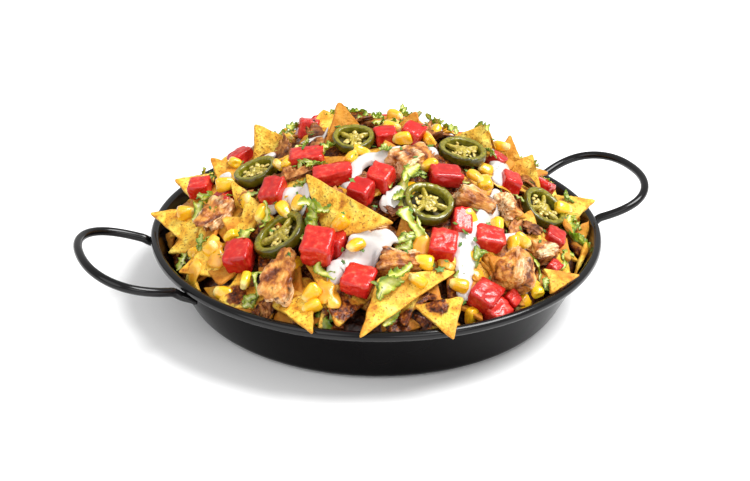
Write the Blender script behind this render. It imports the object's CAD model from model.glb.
"""A pan of nachos, dressed for the studio.

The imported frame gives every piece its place.  Each section below makes one kind of piece, in the order
in which the dish is put together: the enamelled pan, its wire handles, the body of the heap, corn chips,
meat, lettuce, tomato, chicken, pepper slices, corn, melted cheese, sour cream and chopped herbs.
Lengths are metres unless a name ends in MM.
"""

import math

import bmesh
import bpy
import numpy as np
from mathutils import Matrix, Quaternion, Vector


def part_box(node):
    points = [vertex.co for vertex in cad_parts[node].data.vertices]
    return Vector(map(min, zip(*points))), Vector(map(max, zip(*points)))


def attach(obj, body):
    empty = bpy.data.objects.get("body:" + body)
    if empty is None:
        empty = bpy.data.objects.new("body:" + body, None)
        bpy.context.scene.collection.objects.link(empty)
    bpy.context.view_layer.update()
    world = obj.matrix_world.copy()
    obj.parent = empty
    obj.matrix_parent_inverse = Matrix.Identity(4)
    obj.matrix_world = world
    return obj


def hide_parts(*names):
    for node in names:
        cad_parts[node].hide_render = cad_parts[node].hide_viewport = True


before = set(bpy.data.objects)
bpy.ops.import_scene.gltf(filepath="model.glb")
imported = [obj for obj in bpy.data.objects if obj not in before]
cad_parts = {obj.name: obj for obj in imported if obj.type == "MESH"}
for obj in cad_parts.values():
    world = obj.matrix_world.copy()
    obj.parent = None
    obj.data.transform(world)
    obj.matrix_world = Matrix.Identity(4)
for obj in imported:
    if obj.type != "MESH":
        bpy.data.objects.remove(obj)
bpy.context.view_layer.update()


# ---------------------------------------------------------------- serving pan
# A round dish pressed from steel sheet, with leaning sides and its edge rolled into a bead.
# It is dipped in black enamel, which dries satin on the wall and glossy where it flows thick on the bead.

PAN_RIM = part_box("pan")[1].x
PAN_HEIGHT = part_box("pan")[1].z
SHEET = 0.0015
BEAD = 0.0026
FOOT = 0.1018
CORNER = 0.010
WALL_LEAN = math.radians(26.0)


def arc_points(centre, radius, start, end, count):
    """Points centre + radius * (cos a, sin a), with a running from start to end in degrees."""
    a = np.radians(np.linspace(start, end, count))
    return np.stack([centre[0] + radius * np.cos(a), centre[1] + radius * np.sin(a)], 1)


def grid_faces(rows, cols):
    """Four-sided faces between neighbouring points of a grid whose rows close on themselves."""
    r = np.arange(rows - 1)[:, None] * cols
    c = np.arange(cols)[None, :]
    n = (c + 1) % cols
    return np.stack([r + c, r + n, r + cols + n, r + cols + c], -1).reshape(-1, 4)


def make_piece(name, points, material, fields=None, faces=None):
    """One smooth mesh from a stack of grids, points[copy, row, column, xyz], each closed round its rows.

    Rows that shrink to a point are merged into a pole, and fields are values kept on the points.
    """
    copies, rows, cols = points.shape[:3]
    if faces is None:
        faces = grid_faces(rows, cols)
    steps = (np.arange(copies) * rows * cols)[:, None, None]
    mesh = bpy.data.meshes.new(name)
    mesh.from_pydata(points.reshape(-1, 3), [], (faces[None] + steps).reshape(-1, faces.shape[1]))
    for field, values in (fields or {}).items():
        full = np.broadcast_to(values, points.shape[:3]).astype(np.float32).reshape(-1)
        mesh.attributes.new(field, "FLOAT", "POINT").data.foreach_set("value", full)
    bm = bmesh.new()
    bm.from_mesh(mesh)
    bmesh.ops.remove_doubles(bm, verts=bm.verts, dist=1e-7)
    bmesh.ops.recalc_face_normals(bm, faces=bm.faces)
    bm.to_mesh(mesh)
    bm.free()
    mesh.shade_smooth()
    mesh.materials.append(material)
    piece = bpy.data.objects.new(name, mesh)
    bpy.context.scene.collection.objects.link(piece)
    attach(piece, "root")
    return piece


class Finish:
    """A Principled material and its node tree, with short calls for the nodes a finish is built from."""

    def __init__(self, name, roughness, **sockets):
        self.material = bpy.data.materials.new(name)
        self.material.use_nodes = True
        self.tree = self.material.node_tree
        self.shader = self.tree.nodes["Principled BSDF"]
        self.shader.inputs["Roughness"].default_value = roughness
        for socket, value in sockets.items():
            self.shader.inputs[socket.replace("_", " ")].default_value = value
        self.place = self.tree.nodes.new("ShaderNodeTexCoord").outputs["Object"]

    def node(self, kind, **settings):
        made = self.tree.nodes.new("ShaderNode" + kind)
        for key, value in settings.items():
            setattr(made, key, value)
        return made

    def join(self, output, socket):
        self.tree.links.new(output, socket)

    def field(self, name):
        """A value stored on the piece's points."""
        return self.node("Attribute", attribute_name=name).outputs["Fac"]

    def noise(self, scale, detail=3.0, stretch=None):
        """Noise in the piece's own space, in bumps per metre, and stretched by three factors."""
        source = self.place
        if stretch:
            mapping = self.node("Mapping")
            mapping.inputs["Scale"].default_value = stretch
            self.join(source, mapping.inputs["Vector"])
            source = mapping.outputs["Vector"]
        made = self.node("TexNoise")
        made.inputs["Scale"].default_value = scale
        made.inputs["Detail"].default_value = detail
        self.join(source, made.inputs["Vector"])
        return made.outputs["Fac"]

    def ramp(self, source, stops):
        """Colour read from stops of (place, (red, green, blue))."""
        made = self.node("ValToRGB")
        band = made.color_ramp
        while len(band.elements) < len(stops):
            band.elements.new(0.5)
        for element, (place, colour) in zip(band.elements, stops):
            element.position = place
            element.color = (*colour, 1.0)
        self.join(source, made.inputs["Fac"])
        return made.outputs["Color"]

    def blend(self, amount, first, second):
        """Colour that goes from first to second as amount goes from 0 to 1."""
        made = self.node("Mix", data_type="RGBA")
        self.join(amount, made.inputs[0])
        for socket, colour in ((made.inputs[6], first), (made.inputs[7], second)):
            if isinstance(colour, tuple):
                socket.default_value = (*colour, 1.0)
            else:
                self.join(colour, socket)
        return made.outputs[2]

    def band(self, source, low, high):
        """0 below low and 1 above high, smooth between."""
        made = self.node("MapRange", interpolation_type="SMOOTHSTEP")
        made.inputs["From Min"].default_value = low
        made.inputs["From Max"].default_value = high
        self.join(source, made.inputs["Value"])
        return made.outputs["Result"]

    def sum(self, first, second, operation="ADD"):
        made = self.node("Math", operation=operation)
        for socket, value in zip(made.inputs, (first, second)):
            if isinstance(value, float):
                socket.default_value = value
            else:
                self.join(value, socket)
        return made.outputs[0]

    def colour(self, output):
        self.join(output, self.shader.inputs["Base Color"])

    def roughness(self, source, low, high):
        made = self.node("MapRange")
        made.inputs["To Min"].default_value = low
        made.inputs["To Max"].default_value = high
        self.join(source, made.inputs["Value"])
        self.join(made.outputs["Result"], self.shader.inputs["Roughness"])

    def bump(self, *layers):
        """Relief from layers of (height, depth in metres)."""
        before = None
        for height, depth in layers:
            made = self.node("Bump")
            made.inputs["Strength"].default_value = 1.0
            made.inputs["Distance"].default_value = depth
            self.join(height, made.inputs["Height"])
            if before:
                self.join(before, made.inputs["Normal"])
            before = made.outputs["Normal"]
        self.join(before, self.shader.inputs["Normal"])


def enamel_finish():
    finish = Finish("black_enamel", 0.25)
    cloud = finish.noise(26.0, 2.0)
    finish.colour(finish.ramp(cloud, [(0.3, (0.0028, 0.0025, 0.0027)), (0.7, (0.0044, 0.0040, 0.0042))]))
    finish.roughness(cloud, 0.12, 0.20)
    shine = finish.node("MapRange")
    shine.inputs["To Min"].default_value = 0.022
    shine.inputs["To Max"].default_value = 0.32
    finish.join(finish.field("shine"), shine.inputs["Value"])
    finish.join(shine.outputs["Result"], finish.shader.inputs["Specular IOR Level"])
    return finish.material


def pan_points():
    """The section (radius, height) swept round the axis: from the floor up the wall, round the bead and back.

    Also returns 1 on the bead, where the enamel flows thickest and shines, and 0 elsewhere.
    """
    inner = CORNER - SHEET
    bead_at = (PAN_RIM - BEAD, PAN_HEIGHT - BEAD)
    lean = math.degrees(WALL_LEAN)
    seam = math.degrees(math.acos((BEAD - SHEET) / BEAD))
    inside = arc_points((FOOT, CORNER), inner, -90, -lean, 9)
    bead = arc_points(bead_at, BEAD, 180 - lean, -180 - lean + seam, 25)
    outside = arc_points((FOOT, CORNER), CORNER, -lean, -90, 9)
    section = np.concatenate([
        [(0.0, SHEET), (FOOT * 0.5, SHEET)], inside, [inside[-1] * 0.13 + bead[0] * 0.87],
        bead, [bead[-1] * 0.87 + outside[0] * 0.13], outside, [(FOOT * 0.5, 0.0), (0.0, 0.0)],
    ])
    turn = np.linspace(0.0, 2 * np.pi, 192, endpoint=False)
    radius, height = section[:, 0, None], section[:, 1, None]
    points = np.stack([radius * np.cos(turn), radius * np.sin(turn), height + 0 * turn], -1)
    return points, np.clip((height - PAN_HEIGHT + 3 * BEAD) / BEAD, 0, 1) + 0 * turn


black_enamel = enamel_finish()
points, shine = pan_points()
pan_shell = make_piece("pan_shell", points[None], black_enamel, {"shine": shine})
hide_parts("pan")


# ------------------------------------------------------------------- handles
# Each handle is one length of round steel wire, bent to a loop whose legs close in to the pan.
# The ends tuck under the rolled rim and are welded to the wall before the enamel goes on.

WIRE = 0.0025
HANDLE_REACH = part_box("handle_right")[1].x - WIRE
HANDLE_HALF_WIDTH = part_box("handle_right")[1].y - WIRE
HANDLE_TIP_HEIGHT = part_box("handle_right")[1].z - WIRE
HANDLE_SHOULDER = 0.145
HANDLE_ROOT = 0.1285
HANDLE_ROOT_HALF_WIDTH = 0.034
HANDLE_RISE = 0.32
HANDLE_SQUARE = 0.9
HANDLE_FOOT_HEIGHT = 0.030
HANDLE_TOE = 0.0055


def unit(vectors):
    return vectors / np.linalg.norm(vectors, axis=-1, keepdims=True)


def even_path(points, count, soften):
    """The polyline resampled to count points of equal spacing, then smoothed by a running mean."""
    steps = np.r_[0.0, np.cumsum(np.linalg.norm(np.diff(points, axis=0), axis=1))]
    places = np.linspace(0.0, steps[-1], count)
    path = np.stack([np.interp(places, steps, points[:, k]) for k in range(points.shape[1])], 1)
    padded = np.concatenate([np.repeat(path[:1], soften, 0), path, np.repeat(path[-1:], soften, 0)])
    window = np.ones(2 * soften + 1) / (2 * soften + 1)
    smooth = np.stack([np.convolve(padded[:, k], window, "valid") for k in range(points.shape[1])], 1)
    smooth[0], smooth[-1] = path[0], path[-1]
    return smooth


def tube_points(path, radius, sides):
    """Rings path + radius * (cos a * side + sin a * up), square to the path."""
    ahead = unit(np.gradient(path, axis=0))
    side = unit(np.cross(ahead, [0.0, 0.0, 1.0]))
    up = np.cross(side, ahead)
    a = np.linspace(0.0, 2 * np.pi, sides, endpoint=False)[None, :, None]
    return path[:, None] + radius[:, None, None] * (np.cos(a) * side[:, None] + np.sin(a) * up[:, None])


def handle_points(side):
    """A tube along a half superellipse, its legs and their tucked ends; it thins where it is welded on."""
    t = np.linspace(0.0, np.pi, 41)
    across = HANDLE_HALF_WIDTH * np.sign(np.cos(t)) * np.abs(np.cos(t)) ** HANDLE_SQUARE
    along = HANDLE_SHOULDER + (HANDLE_REACH - HANDLE_SHOULDER) * np.sin(t) ** HANDLE_SQUARE
    u = np.linspace(0.0, 1.0, 8)[:-1]
    leg = np.stack([HANDLE_ROOT + (HANDLE_SHOULDER - HANDLE_ROOT) * u,
                    HANDLE_ROOT_HALF_WIDTH
                    + (HANDLE_HALF_WIDTH - HANDLE_ROOT_HALF_WIDTH) * np.sin(u * np.pi / 2)], 1)
    loop = np.concatenate([leg, np.stack([along, across], 1), leg[::-1] * (1, -1)])
    height = HANDLE_TIP_HEIGHT + HANDLE_RISE * (loop[:, 0] - HANDLE_REACH)
    wire = np.column_stack([loop, height])
    tuck = []
    for radius, z, wide in ((0.1244, HANDLE_FOOT_HEIGHT - 0.0012, HANDLE_TOE),
                            (0.1256, HANDLE_FOOT_HEIGHT + 0.0003, 0.003),
                            (PAN_RIM - 0.0014, 0.0316, 0.0007), (PAN_RIM + 0.0014, 0.0332, 0.0002)):
        y = HANDLE_ROOT_HALF_WIDTH + wide
        tuck.append((math.sqrt(radius ** 2 - y ** 2), y, z))
    tuck = np.array(tuck)
    path = even_path(np.concatenate([tuck, wire, tuck[::-1] * (1, -1, 1)]), 220, 3) * (side, side, 1)
    reach = np.minimum(np.arange(220), np.arange(220)[::-1]) / 219 * 0.21
    radius = WIRE * (1.0 - 0.42 * np.exp(-(reach / 0.007) ** 2)) * np.sqrt(np.clip(reach / 0.001, 0.0, 1.0))
    return tube_points(path, radius, 24)


for node, side in (("handle_left", -1), ("handle_right", 1)):
    wire = make_piece(node + "_wire", handle_points(side)[None], black_enamel, {"shine": 1.0})
    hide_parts(node)


# -------------------------------------------------------------- body of the heap
# Under the toppings lies a packed mass of broken chips, mince and melted cheese in a brown sauce.
# It fills the pan to just below the surface on which the toppings rest.

HEAP_TOP = 0.094
HEAP_EDGE = 0.031
HEAP_RADIUS = 0.119
CORE_DEPTH = 0.0075


def dome(x, y):
    """Height of the smooth heap, edge + (top - edge) * (1 - r squared / R squared)."""
    return HEAP_EDGE + (HEAP_TOP - HEAP_EDGE) * (1.0 - np.minimum((x * x + y * y) / HEAP_RADIUS ** 2, 1.15))


def rumple(points, size, seed):
    """Uneven field of about -1 to 1: the mean of six sine waves in seeded directions, bent by three more."""
    chance = np.random.default_rng(seed)
    lines = unit(chance.normal(size=(9, points.shape[-1])))
    pitch = 2 * np.pi / (size * chance.uniform(0.6, 1.6, 9))
    phase = chance.uniform(0.0, 2 * np.pi, 9)
    bent = points + 0.3 * size * np.sin(points @ lines[6:, :].T * pitch[6:] + phase[6:]) @ lines[6:, :]
    return np.sin(bent @ lines[:6].T * pitch[:6] + phase[:6]).mean(-1) * 1.7


def core_points():
    """Rings out over the lowered dome with three sizes of lump, then down inside the pan to its floor."""
    turn = np.linspace(0.0, 2 * np.pi, 220, endpoint=False)
    out = np.linspace(0.0, 1.0, 80)[:, None] * 0.1165
    x, y = out * np.cos(turn), out * np.sin(turn)
    flat = np.stack([x, y], -1)
    z = dome(x, y) - CORE_DEPTH
    z = z + 0.0022 * rumple(flat, 0.024, 3) + 0.0014 * rumple(flat, 0.009, 4)
    z = z + 0.0005 * rumple(flat, 0.0035, 5)
    top = np.stack([x, y, z], -1)
    sides = []
    for radius, height in ((0.1135, 0.018), (0.106, 0.006), (0.09, 0.0022), (0.0, 0.0022)):
        sides.append(np.stack([radius * np.cos(turn), radius * np.sin(turn), height + 0 * turn], -1))
    return np.concatenate([top, np.array(sides)])


def core_finish():
    finish = Finish("sauced_mix", 0.42, Coat_Weight=0.3, Coat_Roughness=0.25)
    patch = finish.noise(75.0, 4.0)
    crumb = finish.noise(420.0, 3.0)
    crust = finish.ramp(crumb, [(0.35, (0.045, 0.012, 0.004)), (0.60, (0.19, 0.052, 0.010)),
                                (0.75, (0.42, 0.16, 0.030))])
    sauce = finish.ramp(crumb, [(0.35, (0.014, 0.004, 0.0025)), (0.7, (0.08, 0.019, 0.006))])
    finish.colour(finish.blend(finish.band(patch, 0.42, 0.6), sauce, crust))
    finish.bump((crumb, 0.0012), (patch, 0.002))
    return finish.material


heap_core = make_piece("heap_core", core_points()[None], core_finish())
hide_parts("heap")


# ------------------------------------------------------------------ corn chips
# Triangles stamped from rolled corn dough, toasted and fried, so each is curled, blistered and speckled.
# The chips that stand out follow their solids; more lie under and between them, whole or broken.

CHIP_THICKNESS = 0.0019


def node_points(name):
    """Corner points of a CAD node, each once."""
    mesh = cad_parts[name].data
    flat = np.empty(len(mesh.vertices) * 3, np.float32)
    mesh.vertices.foreach_get("co", flat)
    return np.unique(flat.reshape(-1, 3).astype(float).round(6), axis=0)


def sheet_terms(x, y):
    """The terms 1, x, y, x2, xy, y2, x3, x2y, xy2, y3 of a curved sheet."""
    return np.stack([x * 0 + 1, x, y, x * x, x * y, y * y, x ** 3, x * x * y, x * y * y, y ** 3], -1)


def read_chip(name):
    """Middle, axes, corner places and curl of a chip solid, by the sheet that fits it best."""
    points = node_points(name)
    middle = points.mean(0)
    axes = np.linalg.svd(points - middle)[2]
    axes[2] *= np.sign(axes[2][2])
    axes[1] = np.cross(axes[2], axes[0])
    x, y, z = ((points - middle) @ axes.T).T
    flat = np.stack([x, y], 1)
    first = np.argmax((flat ** 2).sum(1))
    second = np.argmax(((flat - flat[first]) ** 2).sum(1))
    line = flat[second] - flat[first]
    third = np.argmax(np.abs(line[0] * (y - y[first]) - line[1] * (x - x[first])))
    corners = flat[[first, second, third]]
    scale = 0.02
    curl = np.linalg.lstsq(sheet_terms(x / scale, y / scale), z, rcond=None)[0]
    curl /= scale ** np.array([0, 1, 1, 2, 2, 2, 3, 3, 3, 3])
    return middle, axes, corners, curl


def chip_points(middle, axes, corners, curl, rings, around, seed):
    """Closed shells, one for each chip, and how near each point lies to its edge.

    The rim is the triangle with each point averaged over a short stretch of it, which rounds the corners.
    Points lie at middle + share * (rim - middle); the sheet is its curl plus blisters, half the thickness
    above and below.
    """
    chance = np.random.default_rng(seed)
    count = len(corners)
    t = (np.arange(around)[:, None] / around * 3 + np.linspace(-0.07, 0.07, 7)) % 3
    k = np.floor(t).astype(int)
    part = (t - k)[None, :, :, None]
    rim = (corners[:, k] * (1 - part) + corners[:, (k + 1) % 3] * part).mean(2)
    centre = corners.mean(1, keepdims=True)
    wave = np.arange(around) / around * 2 * np.pi
    ripple = np.sin(wave * 7 + chance.uniform(0, 6.3, (count, 1)))
    ripple = ripple + np.sin(wave * 11 + chance.uniform(0, 6.3, (count, 1)))
    rim = centre + (rim - centre) * (1.0 + 0.012 * ripple[..., None])
    round_off = np.radians([62, 30, 0, -30, -62])
    share = np.concatenate([np.linspace(0, 0.965, rings), 0.965 + 0.035 * np.cos(round_off),
                            np.linspace(0.965, 0, rings)])
    height = np.concatenate([np.ones(rings), np.sin(round_off), -np.ones(rings)])
    flat = centre[:, None] + share[None, :, None, None] * (rim - centre)[:, None]
    x, y = flat[..., 0], flat[..., 1]
    z = (sheet_terms(x, y) * curl[:, None, None]).sum(-1)
    spots = centre[:, 0] + chance.uniform(-0.62, 0.62, (14, count, 2)) * np.abs(corners - centre).max(1)
    blister_width = chance.uniform(0.0014, 0.0038, (14, count))
    blister_height = chance.uniform(-0.0005, 0.0011, (14, count))
    for spot, wide, tall in zip(spots, blister_width, blister_height):
        gap = ((flat - spot[:, None, None]) ** 2).sum(-1)
        z = z + tall[:, None, None] * np.exp(-gap / wide[:, None, None] ** 2)
    seat = np.arange(count)[:, None, None] * 0.31
    z = z + 0.00024 * rumple(np.stack([x, y, seat + 0 * x], -1), 0.0032, seed)
    z = z + height[None, :, None] * CHIP_THICKNESS / 2
    local = np.stack([x, y, z], -1)
    world = middle[:, None, None] + np.einsum("kijc,kcd->kijd", local, axes)
    return world, np.broadcast_to(share[None, :, None], x.shape)


def chip_finish():
    finish = Finish("fried_corn", 0.5, Specular_IOR_Level=0.25)
    mottle = finish.noise(150.0, 5.0)
    fleck = finish.noise(800.0, 3.0)
    base = finish.ramp(mottle, [(0.30, (0.46, 0.16, 0.011)), (0.42, (0.76, 0.38, 0.030)),
                                (0.54, (0.91, 0.60, 0.075)), (0.70, (0.97, 0.79, 0.17))])
    specks = finish.band(fleck, 0.56, 0.67)
    base = finish.blend(finish.sum(specks, 0.8, "MULTIPLY"), base, (0.26, 0.075, 0.010))
    toast = finish.band(finish.field("edge"), 0.86, 1.02)
    base = finish.blend(finish.sum(toast, 0.45, "MULTIPLY"), base, (0.50, 0.19, 0.02))
    orange = finish.band(finish.sum(finish.noise(45.0, 2.0), finish.field("tone")), 0.90, 1.35)
    base = finish.blend(finish.sum(orange, 0.8, "MULTIPLY"), base, (0.50, 0.155, 0.012))
    crumb = finish.noise(420.0, 4.0)
    sauce = finish.ramp(crumb, [(0.35, (0.020, 0.005, 0.002)), (0.52, (0.15, 0.030, 0.006)),
                                (0.68, (0.44, 0.14, 0.017))])
    glazed = finish.band(finish.sum(finish.field("glaze"), finish.sum(mottle, 0.9, "MULTIPLY")), 0.62, 0.80)
    finish.colour(finish.blend(glazed, base, sauce))
    finish.roughness(glazed, 0.52, 0.2)
    finish.bump((fleck, 0.0006), (mottle, 0.0014))
    return finish.material


# where pan sauce has run and baked on: x, y, reach
SAUCE_MM = (
    (-14, -118, 6), (-15, -108, 5), (-59, -99, 8), (-92, -73, 7), (-100, -56, 6), (0, -106, 5),
    (-33, -113, 7), (-55, -50, 9), (29, -114, 5), (-57, 24, 8), (48, 73, 9), (-52, 74, 9), (7, 46, 8),
    (-76, -56, 7), (-40, -60, 7), (22, -60, 7), (80, -62, 7),
    (-46, -104, 5), (-75, -90, 6), (66, -86, 6), (95, -30, 6), (60, -5, 8), (-10, 20, 7))


def glaze_at(points):
    """How much sauce lies at each point: the sum of exp(-(d / reach)^2) over its runs, more lower down."""
    near = np.zeros(points.shape[:-1])
    for x, y, reach in np.array(SAUCE_MM) / 1000:
        near += np.exp(-((points[..., 0] - x) ** 2 + (points[..., 1] - y) ** 2) / reach ** 2)
    low = np.clip((dome(points[..., 0], points[..., 1]) + 0.0015 - points[..., 2]) / 0.0070, 0.0, 1.0)
    return np.minimum(near, 1.0) * 0.75 - 0.05 + 0.95 * low


fried_corn = chip_finish()
shown_chips = sorted(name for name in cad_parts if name.startswith("chip"))
chip_middle, chip_axes, chip_corners, chip_curl = map(np.array, zip(*map(read_chip, shown_chips)))
points, edge = chip_points(chip_middle, chip_axes, chip_corners * 1.02, chip_curl, 16, 84, 11)
CHIP_TOAST = (0.15, 0.20, 0.60, 0.25, 0.25, 0.45, 0.80, 0.80, 0.20,
              0.60, 0.50, 0.50, 0.30, 0.40, 0.60, 0.45, 0.60, 0.62)
CHIP_SAUCE = (0, 0, 0, 0, 0, 0.3, 0, 0, 0, 0, 0, 0, 0, 0, 1, 0, 0.8, 0)
tone, sauced = np.array(CHIP_TOAST)[:, None, None], np.array(CHIP_SAUCE)[:, None, None]
glaze = glaze_at(points) * sauced
top_chips = make_piece("top_chips", points, fried_corn, {"edge": edge, "tone": tone, "glaze": glaze})
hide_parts(*shown_chips)


def scatter(count, inner, outer, seed):
    """Places x, y in a sunflower spiral between two radii, each a little off its mark."""
    chance = np.random.default_rng(seed)
    k = np.arange(count) + 0.5
    radius = np.sqrt(inner ** 2 + (outer ** 2 - inner ** 2) * k / count)
    turn = k * math.pi * (3 - math.sqrt(5)) + chance.uniform(0, 2 * np.pi)
    spread = outer / math.sqrt(count) * 0.45
    return (radius * np.cos(turn) + chance.normal(0, spread, count),
            radius * np.sin(turn) + chance.normal(0, spread, count))


def turned(angle, axis):
    """Rotation matrices about one axis, for rows of local vectors."""
    c, s = np.cos(angle), np.sin(angle)
    made = np.zeros(np.shape(angle) + (3, 3))
    a, b = [(1, 2), (2, 0), (0, 1)][axis]
    made[..., axis, axis] = 1.0
    made[..., a, a], made[..., a, b] = c, s
    made[..., b, a], made[..., b, b] = -s, c
    return made


def seats(x, y, lift, lean, turn, seed, wild):
    """Middles and axes of things laid on the dome: square to it, tipped by up to wild, and turned."""
    chance = np.random.default_rng(seed)
    x, y = np.asarray(x, float), np.asarray(y, float)
    middle = np.stack([x, y, dome(x, y) + lift], -1)
    slope = np.arctan(2 * (HEAP_TOP - HEAP_EDGE) / HEAP_RADIUS ** 2 * np.hypot(x, y)) * lean
    facing = np.arctan2(y, x)
    tip = chance.uniform(0, 2 * np.pi, len(x))
    tilt = chance.uniform(0, wild, len(x))
    loose = turned(tip, 2).transpose(0, 2, 1) @ turned(tilt, 1) @ turned(tip, 2)
    on_dome = turned(-facing, 2) @ turned(slope, 1) @ turned(facing, 2)
    return middle, turned(turn, 2) @ loose @ on_dome


def inside_pan(points):
    """Points beyond the pan's inner wall, or far beyond its edge, drawn in to it."""
    z = points[..., 2]
    wall = FOOT + 0.0076 + (z - 0.0063) * math.tan(WALL_LEAN) - 0.0012
    limit = np.where(z < PAN_HEIGHT + 0.0015, np.minimum(wall, PAN_RIM - 0.0062), PAN_RIM)
    radius = np.maximum(np.hypot(points[..., 0], points[..., 1]), 1e-6)
    drawn = points.copy()
    drawn[..., :2] *= np.minimum(1.0, limit / radius)[..., None]
    return drawn


def over_toppings(points, gap=0.0):
    """For each copy, whether a point of it lies on the outer side of a topping that has its own solid.

    With m the topping's middle and n the heap's normal there, a point p does so when (p - m) . n > gap
    and it is within the topping's reach of the line m + s n.
    """
    over = np.zeros(len(points), bool)
    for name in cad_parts:
        if name.startswith(("tomato", "chicken", "jalapeno")):
            low, high = (np.array(corner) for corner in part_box(name))
            middle = (low + high) / 2
            slope = 2 * (HEAP_TOP - HEAP_EDGE) / HEAP_RADIUS ** 2 * middle[:2]
            normal = unit(np.array([*slope, 1.0]))
            offset = points - middle
            height = offset @ normal
            away = np.sqrt(np.maximum((offset ** 2).sum(-1) - height ** 2, 0.0))
            hollow = 0.0035 if name.startswith("jalapeno") else 0.0
            hides = (height > gap - hollow) & (away < 0.46 * np.sort(high - low)[1:].mean())
            over |= hides.reshape(len(points), -1).any(1)
    return over


def under_chips(count, inner, outer, lift, size, wild, seed):
    """Further chips of random size, tip and curl, spread between two radii and sunk under the toppings."""
    chance = np.random.default_rng(seed)
    x, y = scatter(count, inner, outer, seed)
    height, turn = chance.uniform(*lift, count), chance.uniform(0, 2 * np.pi, count)
    middle, axes = seats(x, y, height, 0.85, turn, seed, wild)
    angle = np.radians([90, 210, 330]) + chance.uniform(-0.25, 0.25, (count, 3))
    reach = chance.uniform(*size, (count, 1)) * chance.uniform(0.85, 1.1, (count, 3)) / math.sqrt(3)
    corners = np.stack([reach * np.cos(angle), reach * np.sin(angle)], -1)
    curl = np.zeros((count, 10))
    curl[:, 3:6] = chance.uniform(-3.0, 3.0, (count, 3)) * (1.0, 0.6, 1.0)
    points, edge = chip_points(middle, axes, corners, curl, 4, 27, seed)
    for step in range(8):
        points[over_toppings(points), ..., 2] -= 0.0012
    return inside_pan(points), edge, chance.uniform(0.2, 1.25, (count, 1, 1)) + 0 * edge


piles = [under_chips(85, 0.0, 0.094, (-0.007, -0.001), (0.042, 0.054), 0.42, 21),
         under_chips(62, 0.078, 0.112, (-0.006, 0.001), (0.020, 0.034), 0.6, 22),
         under_chips(58, 0.094, 0.110, (-0.001, 0.005), (0.026, 0.040), 0.55, 23),
         under_chips(44, 0.104, 0.114, (0.000, 0.004), (0.020, 0.030), 0.7, 24)]
points, edge, tone = (np.concatenate(part) for part in zip(*piles))
fields = {"edge": edge, "tone": tone, "glaze": glaze_at(points)}
bedded_chips = make_piece("bedded_chips", points, fried_corn, fields)


# --------------------------------------------------------------- shredded meat
# Beef pulled to short strips and fried in its spice until the edges crisp and darken.
# The strips lie loose in the gaps between the chips.

CELL = 0.0012
MAP_HALF = 0.156


def dish_top(pieces, fill=1):
    """Height map of the dish: over each cell the highest point of any piece, widened by some cells."""
    count = int(2 * MAP_HALF / CELL) + 1
    heights = np.zeros((count, count))
    for piece in pieces:
        flat = np.empty(len(piece.data.vertices) * 3, np.float32)
        piece.data.vertices.foreach_get("co", flat)
        flat = flat.reshape(-1, 3)
        i, j = ((flat[:, :2] + MAP_HALF) / CELL).astype(int).T
        np.maximum.at(heights, (i, j), flat[:, 2])
    for axis in (0, 1):
        heights = np.max([np.roll(heights, k, axis) for k in range(-fill, fill + 1)], axis=0)
    return heights


def softened(heights, reach):
    """The height map averaged under a bell of the given reach in metres."""
    k = np.arange(-12, 13) * CELL
    bell = np.exp(-0.5 * (k / reach) ** 2)
    bell /= bell.sum()
    for axis in (0, 1):
        heights = sum(w * np.roll(heights, n, axis) for w, n in zip(bell, range(-12, 13)))
    return heights


def height_at(heights, x, y):
    """Height read between the four nearest cells."""
    u = np.clip((x + MAP_HALF) / CELL - 0.5, 0, len(heights) - 2)
    v = np.clip((y + MAP_HALF) / CELL - 0.5, 0, len(heights) - 2)
    i, j = u.astype(int), v.astype(int)
    a, b = u - i, v - j
    return ((heights[i, j] * (1 - a) + heights[i + 1, j] * a) * (1 - b)
            + (heights[i, j + 1] * (1 - a) + heights[i + 1, j + 1] * a) * b)


def bedding(names, reach, fill=1):
    """The softened top of some pieces, held to 1 mm under the smooth heap where they leave a gap."""
    top = softened(dish_top([bpy.data.objects[name] for name in names], fill), reach)
    place = (np.arange(len(top)) + 0.5) * CELL - MAP_HALF
    return np.maximum(top, dome(place[:, None], place[None]) - 0.001)


def ball_grid(rows, cols):
    """Unit directions (cos a cos b, cos a sin b, sin a), latitudes a in rows, longitudes b in columns."""
    a = np.linspace(-np.pi / 2, np.pi / 2, rows)[:, None]
    b = np.linspace(0, 2 * np.pi, cols, endpoint=False)[None]
    return np.stack([np.cos(a) * np.cos(b), np.cos(a) * np.sin(b), np.sin(a) + 0 * b], -1)


def placed(local, middle, axes):
    """Local points of every copy turned to its axes and moved to its middle."""
    return middle[:, None, None] + np.einsum("kijc,kcd->kijd", local, axes)


def kept_in_pan(middle, reach):
    """Middles moved inwards where a thing of that reach would pass the pan's edge."""
    radius = np.hypot(middle[:, 0], middle[:, 1])
    middle = middle.copy()
    middle[:, :2] *= np.minimum(1.0, (PAN_RIM - 0.006 - reach) / radius)[:, None]
    return middle


def meat_finish():
    finish = Finish("pulled_meat", 0.45, Specular_IOR_Level=0.3, Coat_Weight=0.08, Coat_Roughness=0.2)
    fibre = finish.noise(330.0, 4.0)
    patch = finish.noise(90.0, 3.0)
    lean = finish.ramp(fibre, [(0.30, (0.20, 0.050, 0.010)), (0.50, (0.44, 0.15, 0.030)),
                               (0.72, (0.68, 0.34, 0.11))])
    crisp = finish.ramp(fibre, [(0.30, (0.035, 0.009, 0.003)), (0.70, (0.26, 0.070, 0.012))])
    finish.colour(finish.blend(finish.band(patch, 0.40, 0.56), crisp, lean))
    finish.bump((fibre, 0.0014))
    return finish.material


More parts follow.
